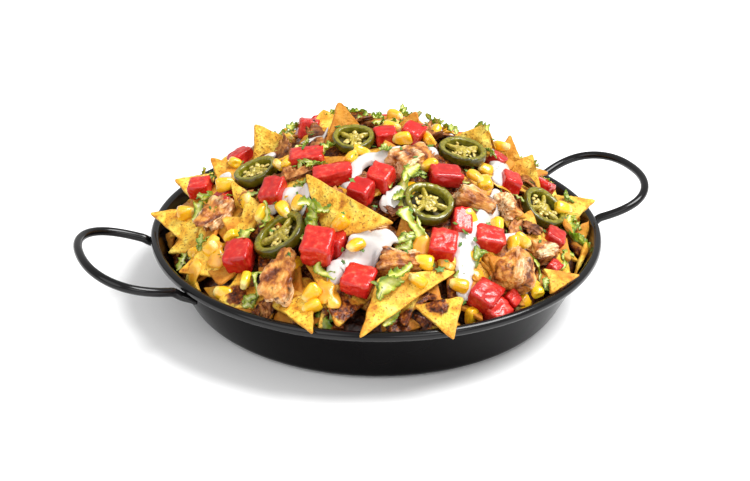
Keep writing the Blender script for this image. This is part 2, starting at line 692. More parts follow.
def broken_faces(ball, count, faces, power, seed):
    """Reach of count broken lumps in every direction d, (sum of (n . d / h)^p)^(-1/p) over random faces.

    Also returns the share, 0 to 1, that raw broken faces have in each direction.
    """
    chance = np.random.default_rng(seed)
    normal = unit(chance.normal(size=(count, faces, 3)))
    depth = chance.uniform(0.62, 1.05, (count, faces))
    raw = (chance.uniform(0, 1, (count, faces)) < 0.55).astype(float)
    push = np.maximum(np.einsum("ijd,kfd->kijf", ball, normal) / depth[:, None, None], 0.0) ** power
    total = push.sum(-1) + 0.5
    return total ** (-1 / power), (push * raw[:, None, None]).sum(-1) / total


def meat_points(middle, axes, size, seed):
    """Broken lumps stretched to strips, size * direction * reach, ridged along their length and bent."""
    ball = ball_grid(22, 32)
    count = len(middle)
    step = np.arange(count)[:, None, None, None] * (3.1, 1.7, 2.3)
    reach = broken_faces(ball, count, 9, 14.0, seed)[0]
    lumps = rumple(ball[None] + step, 1.2, seed)
    ridges = rumple(ball[None] * (0.4, 1.0, 1.0) + step, 0.55, seed + 1)
    local = ball[None] * size[:, None, None] * (reach * (1.15 + 0.42 * lumps + 0.34 * ridges))[..., None]
    bend = np.random.default_rng(seed).uniform(-60, 60, (count, 1, 1))
    local[..., 2] += bend * local[..., 0] ** 2
    return placed(local, middle, axes)


# x, y
MEAT_MM = (
    (-33, 11), (-47, 24), (-55, -9), (47, 29), (39, -7), (18, -31), (56, -73), (-91, -74), (-51, -13),
    (-60, -7), (-31, 2), (-55, -18), (50, -76), (62, -71), (-39, 14), (-44, 6), (-28, 18), (-62, -14),
    (-47, -20), (33, 0), (45, 4), (60, 60), (66, 52), (-30, 84), (-22, 90), (-80, 50), (0, 62), (88, 40))
LOOSE_MEAT = 34
CHIPS = ("top_chips", "bedded_chips", "heap_core")
chance = np.random.default_rng(31)
x, y = scatter(LOOSE_MEAT, 0.0, 0.090, 32)
x, y = np.r_[np.array(MEAT_MM)[:, 0] / 1000, x], np.r_[np.array(MEAT_MM)[:, 1] / 1000, y]
middle, axes = seats(x, y, 0.0, 0.9, chance.uniform(0, 6.3, len(x)), 33, 0.7)
chip_bed = bedding(CHIPS, 0.0020)
middle[:, 2] = np.minimum(height_at(chip_bed, x, y) + 0.001, dome(x, y) + 0.004)
size = np.stack([chance.uniform(0.0040, 0.0085, len(x)), chance.uniform(0.0024, 0.0048, len(x)),
                 chance.uniform(0.0010, 0.0020, len(x))], -1)
points = inside_pan(meat_points(kept_in_pan(middle, size[:, 0]), axes, size, 34))
points = points[~over_toppings(points, 0.002)]
pulled_meat = make_piece("pulled_meat", points, meat_finish())


# ----------------------------------------------------------------- tomato dice
# Ripe tomatoes cut to uneven dice.  One or two faces keep the tight, glossy skin; the others are wet
# cut flesh, paler, with the seed jelly showing.

BEVEL_SHARE = 0.00087


def cube_grid(rows, cols, power):
    """Ball directions pushed out to a rounded cube, d / (|dx|^p + |dy|^p + |dz|^p)^(1/p)."""
    ball = ball_grid(rows, cols)
    return ball / (np.abs(ball) ** power).sum(-1, keepdims=True) ** (1 / power)


def face_axes(name):
    """The outward normals of the widest face of a cut block and of the widest face beside it, and a third."""
    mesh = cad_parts[name].data
    count = len(mesh.polygons)
    normal, area = np.empty(count * 3, np.float32), np.empty(count, np.float32)
    mesh.polygons.foreach_get("normal", normal)
    mesh.polygons.foreach_get("area", area)
    normal = normal.reshape(-1, 3).astype(float)
    first = normal[area.argmax()]
    beside = normal[(area * (np.abs(normal @ first) < 0.4)).argmax()]
    third = np.cross(first, beside)
    return unit(np.array([first, beside, third]))


def read_block(name):
    """The eight corners of a block, [sign, sign, sign, xyz], each the mean of its bevel's points set out."""
    points = node_points(name)
    axes = face_axes(name)
    side = (points - points.mean(0)) @ np.linalg.inv(axes) > 0
    corners = np.empty((2, 2, 2, 3))
    for octant in np.ndindex(2, 2, 2):
        outward = (np.array(octant) * 2 - 1) @ axes
        corners[octant] = points[(side == octant).all(1)].mean(0) + BEVEL_SHARE * outward
    return corners


def dice_points(corners, seed):
    """A rounded cube spread between the eight corners of each block, with a lumpy surface.

    Also returns how far each point lies on one skin face (1) rather than on cut flesh (0).
    """
    cube = cube_grid(24, 44, 12)
    chance = np.random.default_rng(seed)
    count = len(corners)
    weight = np.stack([(1 - cube) / 2, (1 + cube) / 2], -1)
    blocks = np.einsum("ija,ijb,ijc,kabcd->kijd", weight[:, :, 0], weight[:, :, 1], weight[:, :, 2], corners)
    middle = corners.mean((1, 2, 3))[:, None, None]
    skin_axis = chance.integers(0, 3, count)
    skin_sign = chance.choice([-1, 1], count)
    skin = np.clip((cube[..., skin_axis] * skin_sign - 0.80) / 0.14, 0, 1).transpose(2, 0, 1)
    step = np.arange(count)[:, None, None, None] * (2.3, 1.9, 3.7)
    lumps = rumple(cube[None] + step, 1.3, seed) * 0.055
    lumps = lumps + rumple(cube[None] + step, 0.35, seed + 1) * 0.018 * (1 - skin)
    bulge = 0.07 * skin * (1 - (cube ** 2).sum(-1)[None] / 3)
    return middle + (blocks - middle) * (0.99 + lumps + bulge)[..., None], skin


def tomato_finish():
    finish = Finish("tomato_flesh", 0.2, Specular_IOR_Level=0.5, Coat_Weight=0.04, Coat_Roughness=0.06,
                    Subsurface_Weight=0.12, Subsurface_Radius=(1.0, 0.15, 0.08), Subsurface_Scale=0.0015)
    cloud = finish.noise(110.0, 3.0)
    vein = finish.noise(330.0, 3.0)
    skin = finish.ramp(cloud, [(0.3, (0.44, 0.006, 0.004)), (0.7, (0.66, 0.014, 0.008))])
    flesh = finish.ramp(vein, [(0.30, (0.46, 0.010, 0.007)), (0.55, (0.62, 0.024, 0.013)),
                               (0.80, (0.78, 0.15, 0.080))])
    cut = finish.blend(finish.field("skin"), flesh, skin)
    finish.colour(finish.blend(finish.sum(finish.field("ripe"), 0.6, "MULTIPLY"), cut, (0.34, 0.006, 0.006)))
    finish.roughness(vein, 0.12, 0.34)
    finish.bump((vein, 0.00045), (cloud, 0.0006))
    return finish.material


def loose_blocks(table, seed):
    """Corners of further small dice at x, y in mm, of a size in mm, lifted by some mm over the dome."""
    table = np.array(table, float)
    chance = np.random.default_rng(seed)
    count = len(table)
    middle, axes = seats(table[:, 0] / 1000, table[:, 1] / 1000, table[:, 3] / 1000, 0.9,
                         chance.uniform(0, 6.3, count), seed, 0.5)
    sign = np.array(list(np.ndindex(2, 2, 2))) * 2.0 - 1.0
    half = table[:, None, 2:3] / 2000 * chance.uniform(0.8, 1.15, (count, 1, 3))
    local = sign * half * chance.uniform(0.85, 1.1, (count, 8, 3))
    return (middle[:, None] + local @ axes).reshape(count, 2, 2, 2, 3)


# x, y, size, lift over the dome
EXTRA_TOMATO_MM = (
    (-30, 33, 11, 4), (-89, 3, 9, 5), (-50, -68, 13, 3), (20, -116, 12, 4), (30, -112, 9, 6), (65, -93, 8, 5),
    (70, 40, 10, 1), (35, 62, 11, 2), (-10, 70, 11, 2), (-55, 66, 10, 1), (85, 55, 9, 1), (5, 98, 10, 1),
    (-40, 92, 9, 1), (60, 88, 10, 1), (-85, 60, 9, 1), (104, 20, 8, 1))
shown_tomato = sorted(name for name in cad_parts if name.startswith("tomato"))
corners = np.array([read_block(name) for name in shown_tomato])
corners = np.concatenate([corners, loose_blocks(EXTRA_TOMATO_MM, 41)])
points, skin = dice_points(corners, 42)
ripe = np.random.default_rng(43).uniform(0.0, 1.0, (len(points), 1, 1)) ** 2
tomato_dice = make_piece("tomato_dice", points, tomato_finish(), {"skin": skin, "ripe": ripe})
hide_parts(*shown_tomato)


# --------------------------------------------------------------- grilled chicken
# Chicken breast grilled whole in its spice, then torn to bite-sized lumps.
# Each is browned and charred outside, and pale and stringy where it parted.

def read_shell(name, ball, power=22.0):
    """A smooth shell round a solid, middle + d / (sum of (n . d / h)^p)^(1/p) over its face planes.

    n is a face's normal and h how far its plane lies from the middle; a high power p holds the flats.
    Also returns the solid's own axes, longest first.
    """
    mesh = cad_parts[name].data
    count = len(mesh.polygons)
    normal, centre = np.empty(count * 3, np.float32), np.empty(count * 3, np.float32)
    mesh.polygons.foreach_get("normal", normal)
    mesh.polygons.foreach_get("center", centre)
    normal, centre = normal.reshape(-1, 3).astype(float), centre.reshape(-1, 3).astype(float)
    points = node_points(name)
    middle = points.mean(0)
    axes = np.linalg.svd(points - middle)[2]
    spread = np.abs((points - middle) @ axes.T).max(0)
    direction = unit(ball * spread) @ axes
    away = np.maximum(((centre - middle) * normal).sum(1), 0.001)
    push = np.maximum(direction @ normal.T, 0.0) / away
    reach = (push ** power).sum(-1) ** (-1 / power) * 1.07
    return middle, axes, direction * reach[..., None]


def chicken_points(middle, axes, shells, seed):
    """The shells with broken flats cut in and fibres that run along the grain.

    Also returns where the torn, pale inside shows, and the fibres.
    """
    grain = np.einsum("kijd,kcd->kijc", shells, axes)
    ball = unit(grain / np.abs(grain).max((1, 2), keepdims=True))
    step = np.arange(len(middle))[:, None, None, None] * 0.05
    reach, raw = broken_faces(ball[0], len(middle), 12, 16.0, seed)
    lump = rumple(grain * (0.6, 1.0, 1.0) + step, 0.010, seed + 1)
    knob = rumple(grain * (0.5, 1.0, 1.0) + step, 0.0052, seed + 4)
    fibre = 1 - 2 * np.abs(rumple(grain * (0.15, 1.0, 1.0) + step, 0.0028, seed + 2))
    fine = rumple(grain * (0.2, 1.0, 1.0) + step, 0.0012, seed + 3)
    torn = np.clip(raw * 0.85 + 0.40 * lump + 0.18 * fibre + 0.10, 0, 1)
    depth = 0.0012 * lump + 0.0007 * knob + 0.00075 * fibre * (0.35 + torn) + 0.00022 * fine
    scale = 1.02 * np.clip(reach, 0.64, 1.04) + 0.05
    return middle[:, None, None] + shells * scale[..., None] + unit(shells) * depth[..., None], torn, fibre


def chicken_finish():
    finish = Finish("grilled_chicken", 0.36, Specular_IOR_Level=0.35, Coat_Weight=0.12, Coat_Roughness=0.15)
    patch = finish.noise(170.0, 4.0)
    grain = finish.noise(560.0, 4.0)
    strand = finish.sum(finish.sum(finish.field("fibre"), 0.22, "MULTIPLY"), grain)
    inside = finish.ramp(strand, [(0.22, (0.36, 0.105, 0.022)), (0.42, (0.64, 0.29, 0.095)),
                                  (0.60, (0.80, 0.49, 0.23)), (0.80, (0.87, 0.66, 0.42))])
    outside = finish.ramp(patch, [(0.32, (0.11, 0.022, 0.004)), (0.44, (0.34, 0.095, 0.013)),
                                  (0.56, (0.60, 0.24, 0.038)), (0.72, (0.80, 0.45, 0.12))])
    char = finish.ramp(grain, [(0.3, (0.030, 0.010, 0.004)), (0.7, (0.16, 0.045, 0.012))])
    skin = finish.blend(finish.band(finish.noise(130.0, 3.0), 0.56, 0.66), outside, char)
    parted = finish.sum(finish.field("torn"), finish.sum(patch, 0.4, "MULTIPLY"))
    finish.colour(finish.blend(finish.band(parted, 0.42, 1.02), skin, inside))
    finish.bump((grain, 0.0010), (patch, 0.0012))
    return finish.material


shown_chicken = sorted(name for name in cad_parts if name.startswith("chicken"))
ball = ball_grid(64, 96)
shells = [read_shell(name, ball) for name in shown_chicken]
chicken_middle, chicken_axes, shells = map(np.array, zip(*shells))
points, torn, fibre = chicken_points(chicken_middle, chicken_axes, shells, 51)
torn_chicken = make_piece("torn_chicken", points, chicken_finish(), {"torn": torn, "fibre": fibre})
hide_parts(*shown_chicken)


# ---------------------------------------------------------------- pepper slices
# Pickled green peppers cut across: a waxy skin round a fleshy wall, three thin ribs that meet in a pale,
# spongy core, and flat seeds that cling to it.

RING_WALL = 0.25
SEEDS_IN_RING = 13


def read_ring(name):
    """Middle, axes (last one through the hole), radius, half thickness and angles of the three chambers."""
    points = node_points(name)
    middle = (points.min(0) + points.max(0)) / 2
    axes = np.linalg.svd(points - points.mean(0))[2]
    axes[2] *= np.sign(axes[2][2])
    axes[1] = np.cross(axes[2], axes[0])
    local = (points - middle) @ axes.T
    middle = middle + (local.min(0) + local.max(0)) / 2 @ axes
    local = (points - middle) @ axes.T
    reach = np.hypot(local[:, 0], local[:, 1])
    angle = np.arctan2(local[:, 1], local[:, 0])[reach < 0.85 * reach.max()]
    phase = np.angle(np.exp(3j * angle).sum()) / 3
    chambers = phase + np.arange(3) * 2 * np.pi / 3
    return middle, axes, reach.max(), np.abs(local[:, 2]).max(), chambers


def ring_walls(radius, half, seed):
    """The wall swept round: radius (1 + 0.03 cos 3b), its section a flat-sided oval from 1 - wall to 1.

    Also returns how far each point is flesh (1) and not skin (0).
    """
    count = len(radius)
    b = np.linspace(0, 2 * np.pi, 84, endpoint=False)
    s = np.linspace(0, 2 * np.pi, 28, endpoint=False)[:, None]
    out = np.sign(np.cos(s)) * np.abs(np.cos(s)) ** 0.5
    up = np.sign(np.sin(s)) * np.abs(np.sin(s)) ** 0.45
    wave = 1 + 0.03 * np.cos(3 * b + np.arange(count)[:, None, None])
    r = radius[:, None, None] * wave * (1 - RING_WALL / 2 * (1 - out))
    r = r + radius[:, None, None] * 0.02 * (out > 0) * (1 - up ** 2)
    z = half[:, None, None] * up * (1 - 0.05 * (out < 0)) + 0 * b
    flat = np.stack([r * np.cos(b), r * np.sin(b), z], -1)
    flat[..., 2] += 0.0003 * rumple(flat[..., :2] + np.arange(count)[:, None, None, None] * 0.1, 0.006, seed)
    flesh = np.clip((0.70 - out) / 0.25, 0, 1) + 0 * b
    closed = np.concatenate([flat, flat[:, :1]], 1)
    return closed, np.broadcast_to(np.concatenate([flesh, flesh[:1]])[None], closed.shape[:3])


def ring_ribs(radius, half, chambers, seed):
    """Ribs as flattened, lumpy balls that reach from the core to the wall, between each two chambers."""
    ball = ball_grid(15, 20)
    count = len(radius)
    step = np.arange(count * 3)[:, None, None, None] * (2.1, 3.3, 1.9)
    local = ball[None] * (1 + 0.2 * rumple(ball[None] + step, 1.1, seed))[..., None]
    size = np.stack([radius * 0.44, radius * 0.10, half * 0.72], -1)
    local = local * np.repeat(size, 3, 0)[:, None, None]
    local[..., 0] += np.repeat(radius, 3)[:, None, None] * 0.44
    angle = (chambers + np.pi / 3).reshape(-1)
    return local, turned(angle, 2)


def ring_cores(radius, half, seed):
    """Cores: a ball of 0.32 of the radius, pitted and ragged."""
    ball = ball_grid(22, 32)
    step = np.arange(len(radius))[:, None, None, None] * (2.7, 1.3, 3.1)
    rough = 1 + 0.22 * rumple(ball[None] + step, 0.9, seed) + 0.12 * rumple(ball[None] + step, 0.3, seed + 1)
    size = np.stack([radius * 0.33, radius * 0.33, half * 0.85], -1)
    return ball[None] * rough[..., None] * size[:, None, None]


def pepper_finish():
    finish = Finish("green_pepper", 0.22, Coat_Weight=0.2, Coat_Roughness=0.1, Subsurface_Weight=0.15,
                    Subsurface_Radius=(0.5, 1.0, 0.2), Subsurface_Scale=0.0015)
    cloud = finish.noise(160.0, 3.0)
    fine = finish.noise(600.0, 2.0)
    skin = finish.ramp(cloud, [(0.3, (0.042, 0.038, 0.001)), (0.7, (0.100, 0.086, 0.003))])
    flesh = finish.ramp(fine, [(0.3, (0.125, 0.112, 0.004)), (0.7, (0.26, 0.23, 0.015))])
    finish.colour(finish.blend(finish.field("flesh"), skin, flesh))
    finish.roughness(fine, 0.15, 0.32)
    finish.bump((cloud, 0.0003), (fine, 0.00015))
    return finish.material


def pulp_finish():
    finish = Finish("pepper_pulp", 0.3, Coat_Weight=0.4, Coat_Roughness=0.15)
    fine = finish.noise(700.0, 3.0)
    finish.colour(finish.ramp(fine, [(0.3, (0.22, 0.165, 0.008)), (0.55, (0.45, 0.35, 0.035)),
                                     (0.75, (0.64, 0.53, 0.11))]))
    finish.bump((fine, 0.0005))
    return finish.material


def seed_finish():
    finish = Finish("pepper_seed", 0.3, Coat_Weight=0.3)
    cloud = finish.noise(300.0, 2.0)
    finish.colour(finish.ramp(cloud, [(0.3, (0.50, 0.36, 0.07)), (0.7, (0.70, 0.57, 0.18))]))
    return finish.material


shown_rings = sorted(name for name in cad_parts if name.startswith("jalapeno"))
ring_middle, ring_axes, ring_radius, ring_half, chambers = map(np.array, zip(*map(read_ring, shown_rings)))
walls, flesh = ring_walls(ring_radius * 0.985, ring_half, 61)
walls = placed(walls, ring_middle, ring_axes)
pepper_walls = make_piece("pepper_walls", walls, pepper_finish(), {"flesh": flesh})
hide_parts(*shown_rings)

pulp = pulp_finish()
ribs, rib_turn = ring_ribs(ring_radius, ring_half, chambers, 62)
ribs = placed(ribs, np.repeat(ring_middle, 3, 0), rib_turn @ np.repeat(ring_axes, 3, 0))
pepper_ribs = make_piece("pepper_ribs", ribs, pulp)
cores = ring_cores(ring_radius, ring_half, 63)
pepper_cores = make_piece("pepper_cores", placed(cores, ring_middle, ring_axes), pulp)

bed_size = np.stack([ring_radius * 0.86, ring_radius * 0.86, ring_half * 0.22], -1)
bed = ball_grid(11, 30)[None] * bed_size[:, None, None]
bed[..., 2] -= ring_half[:, None, None] * 0.62
juice = Finish("pepper_juice", 0.15)
juice.colour(juice.ramp(juice.noise(300.0), [(0.3, (0.012, 0.009, 0.001)), (0.7, (0.06, 0.045, 0.004))]))
pepper_hollows = make_piece("pepper_hollows", placed(bed, ring_middle, ring_axes), juice.material)

chance = np.random.default_rng(64)
count = len(shown_rings) * SEEDS_IN_RING
owner = np.repeat(np.arange(len(shown_rings)), SEEDS_IN_RING)
lobe = chambers[owner, chance.integers(0, 3, count)] + chance.uniform(-0.75, 0.75, count)
reach = ring_radius[owner] * chance.uniform(0.30, 0.60, count)
height = ring_half[owner] * chance.uniform(-0.2, 0.75, count)
local = np.stack([reach * np.cos(lobe), reach * np.sin(lobe), height], -1)
seed_middle = ring_middle[owner] + np.einsum("kc,kcd->kd", local, ring_axes[owner])
seed_turn = turned(chance.uniform(0, 6.3, count), 2) @ turned(chance.normal(0, 0.5, count), 1)
seed_axes = seed_turn @ ring_axes[owner]
seed_shape = np.repeat(ball_grid(6, 9)[None] * (0.0015, 0.0012, 0.0006), count, 0)
pepper_seeds = make_piece("pepper_seeds", placed(seed_shape, seed_middle, seed_axes), seed_finish())


# --------------------------------------------------------------------- lettuce
# Crisp lettuce in torn leaves and cut shreds.  A leaf is pale and thick along its rib and green and
# ruffled at its edge.

LEAF_THICKNESS = 0.0004


def leaf_points(middle, axes, length, width, ruffle, rows, half, seed):
    """Closed thin leaves: u runs along, v across, and the height is a curl in u and ripples that grow with v.

    Each bends to one side as it goes, by a sine of u, and is frilled along both edges.
    Also returns how near each point lies to the edge, 0 at the rib and 1 at the frill.
    """
    chance = np.random.default_rng(seed)
    count = len(middle)
    u = np.linspace(0, 1, rows)[None, :, None]
    v = np.concatenate([np.linspace(-1, 1, half), np.linspace(1, -1, half)])[None, None]
    side = np.repeat([1.0, -1.0], half)[None, None]
    outline = np.sin(np.pi * u ** 0.8) ** 0.4

    def pick(low, high):
        return chance.uniform(low, high, (count, 1, 1))

    jag = 1 + 0.13 * np.sin(u * pick(45, 65) + 2 * v + pick(0, 6)) * v ** 2
    jag = jag + 0.22 * np.sin(u * 9 + pick(0, 6))
    x = (u - 0.5) * length[:, None, None] + 0 * v
    y = v * width[:, None, None] / 2 * outline * jag
    wave = np.sin(u * pick(16, 26) + v * pick(0.5, 2) + pick(0, 6)) + 0.5 * np.sin(u * pick(34, 48) + 3 * v)
    z = ruffle[:, None, None] * np.abs(v) ** 1.3 * wave * outline
    z = z + width[:, None, None] * pick(-0.1, 0.5) * v ** 2 * outline
    y = y + length[:, None, None] * pick(-0.22, 0.22) * np.sin(u * pick(3, 6) + pick(0, 6))
    bend = pick(-2.2, 2.2) / length[:, None, None]
    swing = x * bend
    x, lift = np.sin(swing) / bend, (1 - np.cos(swing)) / bend
    z = z + lift + side * LEAF_THICKNESS / 2 * (1 - np.abs(v) ** 8 * 0.6) * np.minimum(1, outline * 4)
    local = np.stack([x, y, z], -1)
    return placed(local, middle, axes), np.abs(v) * np.ones(x.shape)


def lettuce_finish():
    finish = Finish("lettuce", 0.35, Coat_Weight=0.15, Coat_Roughness=0.15, Subsurface_Weight=0.2,
                    Subsurface_Radius=(0.5, 1.0, 0.2), Subsurface_Scale=0.001)
    cloud = finish.noise(130.0, 3.0)
    vein = finish.noise(500.0, 2.0, (1.0, 1.0, 0.4))
    amount = finish.sum(finish.field("edge"), finish.sum(cloud, 0.45, "SUBTRACT"))
    green = finish.ramp(amount, [(0.05, (0.76, 0.75, 0.42)), (0.32, (0.62, 0.62, 0.16)),
                                 (0.66, (0.40, 0.44, 0.030)), (0.98, (0.13, 0.20, 0.008))])
    dark = finish.ramp(vein, [(0.35, (0.030, 0.10, 0.009)), (0.7, (0.12, 0.24, 0.018))])
    finish.colour(finish.blend(finish.sum(finish.field("tone"), 0.6, "MULTIPLY"), green, dark))
    finish.bump((vein, 0.0006), (cloud, 0.0006))
    return finish.material


# x, y, length, width, ruffle, turn in degrees, lift over the dome, tone (0 pale, 1 dark)
LEAVES_MM = (
    (50, 8, 14, 8, 1.6, 259, 6.3, 0.3), (2, 7, 8, 8, 1.6, 3, 8.1, 0.3), (5, 0, 7, 8, 1.4, 352, 4.4, 0),
    (-6, -26, 7, 7, 1.4, 14, 6, 0.4), (0, -47, 17, 12, 2.4, 43, 5.6, 0), (7, -48, 10, 8, 1.2, 20, 1.8, 0.9),
    (-8, -59, 30, 16, 3.2, 41, 2, 0), (-6, -58, 14, 12, 2.6, 25, 3, 0.1),
    (-11, -78, 23, 14, 2.8, 39, 6.6, 0), (-18, -83, 12, 9, 2, 47, 6.8, 0.5),
    (-4, -74, 15, 6, 1.4, 259, 3.7, 0), (59, -21, 10, 8, 1.2, 281, 7.5, 0.7),
    (108, 6, 12, 9, 1.8, 18, 8, 0.1), (109, -13, 11, 9, 1.8, 12, 9, 0),
    (105, -35, 11, 9, 1.4, 20, 14.1, 0.8), (99, -60, 29, 16, 3.4, 267, 3.8, 0),
    (109, -52, 17, 14, 3, 357, 3, 0.1), (83, -79, 14, 9, 2, 31, 4, 0), (22, -93, 14, 9, 1.4, 15, 4.9, 0.95),
    (-17, -85, 10, 8, 1.6, 47, 5.7, 0.5), (-36, -107, 24, 14, 3, 38, 19.7, 0),
    (-31, -105, 17, 10, 2.4, 27, 19.4, 0.1), (-38, -114, 20, 9, 1.4, 41, 15.5, 0),
    (51, -96, 19, 6, 1.2, 264, 6.6, 0), (53, -112, 7, 7, 1.2, 299, 16.5, 0.7),
    (-98, 16, 21, 12, 2.6, 30, 9.9, 0.1), (-94, 3, 27, 10, 2.4, 49, 11.2, 0.2),
    (-109, -16, 10, 8, 1.6, 36, 10.8, 0.4), (-116, -5, 14, 9, 1.8, 37, 3, 0),
    (-89, -32, 15, 11, 2.4, 30, 7.8, 0.1), (-79, -33, 19, 10, 2.2, 35, 4.9, 0.1),
    (-59, -52, 23, 14, 3.2, 37, 5.8, 0), (-56, -53, 18, 12, 2.8, 35, 10.8, 0.1),
    (-61, -57, 11, 8, 1.8, 6, 5.5, 0.3), (-89, -60, 18, 5, 1.2, 241, 7.1, 0.2),
    (-97, -63, 10, 10, 1.6, 33, 3.7, 0.5), (-98, -66, 8, 8, 1.4, 27, 2.2, 0.1),
    (-68, -98, 20, 13, 2, 45, 8.3, 1), (-41, -105, 10, 6, 1.2, 61, 18.8, 0.8),
    (-36, 39, 14, 10, 2, 49, 7.6, 0.1), (-62, 73, 7, 6, 1.2, 39, 9, 0.3),
    (-88, 44, 12, 7, 1.4, 354, 11.1, 0.5), (-92, 55, 8, 8, 1.6, 27, 8, 0),
    (-32, -9, 14, 12, 2.4, 27, 2.5, 0), (-47, -15, 11, 8, 1.6, 18, 3.8, 0.3),
    (-73, -8, 10, 7, 1.2, 309, 5.3, 0.8), (-52, -20, 7, 7, 1.2, 4, 0.2, 0.9),
    (-41, 9, 6, 6, 1.4, 8, 4, 0.1), (10, 55, 22, 13, 2.4, 0, 5, 0.1), (-30, 75, 24, 13, 2.6, 40, 4, 0.1),
    (55, 45, 20, 12, 2.4, 60, 5, 0.2), (80, 30, 20, 10, 2.2, 20, 4, 0.2), (-70, 75, 20, 11, 2.2, 0, 3, 0.2),
    (35, 95, 22, 12, 2.4, 30, 3, 0.1), (-5, 105, 18, 10, 2, 80, 2, 0.3), (85, 70, 18, 10, 2, 10, 2, 0.2),
    (-100, 50, 18, 10, 2, 30, 2, 0.2), (30, 30, 18, 11, 2.4, 120, 5, 0.1),
    (-12, 50, 16, 10, 2.2, 150, 5, 0.3))
LOOSE_SHREDS = 40
leaf = np.repeat(np.array(LEAVES_MM, float), 2, 0)
chance = np.random.default_rng(71)
leaf[:, :2] += chance.normal(0, 1.6, (len(leaf), 2))
leaf[:, 5] += chance.normal(0, 26, len(leaf))
leaf[:, 6] += chance.uniform(-0.5, 1.5, len(leaf))
green = lettuce_finish()
middle, axes = seats(leaf[:, 0] / 1000, leaf[:, 1] / 1000, leaf[:, 6] / 1000, 0.9,
                     np.radians(leaf[:, 5]), 73, 0.6)
points, edge = leaf_points(kept_in_pan(middle, leaf[:, 2] / 3000), axes, leaf[:, 2] / 1000, leaf[:, 3] / 1900,
                           leaf[:, 4] / 2200, 48, 8, 74)
kept = ~over_toppings(points, 0.003) | (np.arange(len(leaf)) % 2 == 0)
fields = {"edge": edge[kept], "tone": leaf[kept, 7, None, None]}
lettuce_leaves = make_piece("lettuce_leaves", inside_pan(points)[kept], green, fields)

x, y = scatter(LOOSE_SHREDS, 0.0, 0.110, 72)
length, width = chance.uniform(0.010, 0.022, LOOSE_SHREDS), chance.uniform(0.0025, 0.0060, LOOSE_SHREDS)
middle, axes = seats(x, y, 0.0, 0.9, chance.uniform(0, 6.3, LOOSE_SHREDS), 75, 0.5)
middle[:, 2] = height_at(chip_bed, x, y) + 0.0015
points, edge = leaf_points(kept_in_pan(middle, length / 3), axes, length, width, width * 0.3, 24, 6, 76)
tone = chance.uniform(0, 0.7, (LOOSE_SHREDS, 1, 1)) + 0 * edge
kept = ~over_toppings(points, 0.003)
fields = {"edge": edge[kept], "tone": tone[kept]}
lettuce_shreds = make_piece("lettuce_shreds", inside_pan(points)[kept], green, fields)


# ------------------------------------------------------------------ corn kernels
# Sweetcorn cut from the cob and boiled, then scattered by the spoonful.
# The grains are plump wedges with a dented crown and a pale tip.

def kernel_points(middle, axes, size, seed):
    """Rounded blocks drawn in to a wedge, 0.66 + 0.46 t - 0.12 t^3 of t from tip to dented crown.

    Also returns t, the place between tip and crown.
    """
    ball = cube_grid(14, 18, 3.2)
    t = (ball[..., 2] + 1) / 2
    wedge = (0.66 + 0.46 * t - 0.12 * t ** 3)[..., None]
    shape = ball * np.concatenate([wedge, wedge, 0 * wedge + 1], -1)
    shape[..., 2] -= 0.20 * np.exp(-(ball[..., 0] ** 2 + ball[..., 1] ** 2) / 0.16) * (ball[..., 2] > 0)
    step = np.arange(len(middle))[:, None, None, None] * (1.9, 2.9, 3.7)
    lumps = 1 + 0.07 * rumple(ball[None] + step, 1.4, seed)
    return placed(shape[None] * lumps[..., None] * size[:, None, None], middle, axes), t[None] + 0 * lumps


def corn_finish():
    finish = Finish("sweetcorn", 0.22, Coat_Weight=0.5, Coat_Roughness=0.1, Subsurface_Weight=0.3,
                    Subsurface_Radius=(1.0, 0.6, 0.1), Subsurface_Scale=0.0015)
    cloud = finish.noise(220.0, 2.0)
    grain = finish.ramp(cloud, [(0.3, (0.82, 0.44, 0.006)), (0.7, (0.92, 0.64, 0.030))])
    ripe = finish.blend(finish.sum(finish.field("tone"), 0.5, "MULTIPLY"), grain, (0.82, 0.30, 0.003))
    finish.colour(finish.blend(finish.band(finish.field("along"), 0.30, 0.02), ripe, (0.88, 0.70, 0.24)))
    finish.bump((cloud, 0.0003))
    return finish.material


# x, y, lift over the dome
CORN_MM = (
    (-19, 37, 3.2), (-58, 1, 4.6), (-55, -2, 4.4), (-23, -20, 1), (-16, -16, 1), (-86, 14, 10.7),
    (-108, 19, 14.2), (-77, -26, 4.3), (-66, -31, 1.4), (-59, -35, 3), (8, -18, 5.2), (24, -17, 4.8),
    (7, -4, 4.8), (14, -40, 3), (38, -50, 6.4), (42, -53, 6.5), (23, -75, 4.3), (38, -78, 4.8),
    (94, -51, 12), (42, -89, 8.1), (50, -84, 5.9), (-105, -24, 9.7), (-96, -56, 7.7), (-107, -51, 7),
    (-94, -26, 6.7), (-71, -88, 14), (-73, -94, 15.4), (-43, -78, 10), (-12, -94, 6.7), (6, -115, 1),
    (47, -109, 10), (38, -115, 7), (2, -108, 9.7))
LOOSE_CORN = 56
chance = np.random.default_rng(81)
x, y = scatter(LOOSE_CORN, 0.012, 0.112, 82)
tomato_middle = corners[:len(shown_tomato)].mean((1, 2, 3))
busy = np.concatenate([chicken_middle[:, :2], ring_middle[:, :2], tomato_middle[:, :2],
                       np.array(CORN_MM)[:, :2] / 1000])
clear = np.hypot(x[:, None] - busy[:, 0], y[:, None] - busy[:, 1]).min(1) > 0.011
x, y = x[clear], y[clear]
lift = np.r_[np.array(CORN_MM)[:, 2] / 1000, height_at(chip_bed, x, y) - dome(x, y) + 0.001]
x, y = np.r_[np.array(CORN_MM)[:, 0] / 1000, x], np.r_[np.array(CORN_MM)[:, 1] / 1000, y]
count = len(x)
middle, axes = seats(x, y, lift, 0.8, chance.uniform(0, 6.3, count), 83, 0.6)
laid = turned(chance.uniform(0, 6.3, count), 2) @ turned(chance.normal(1.45, 0.35, count), 1)
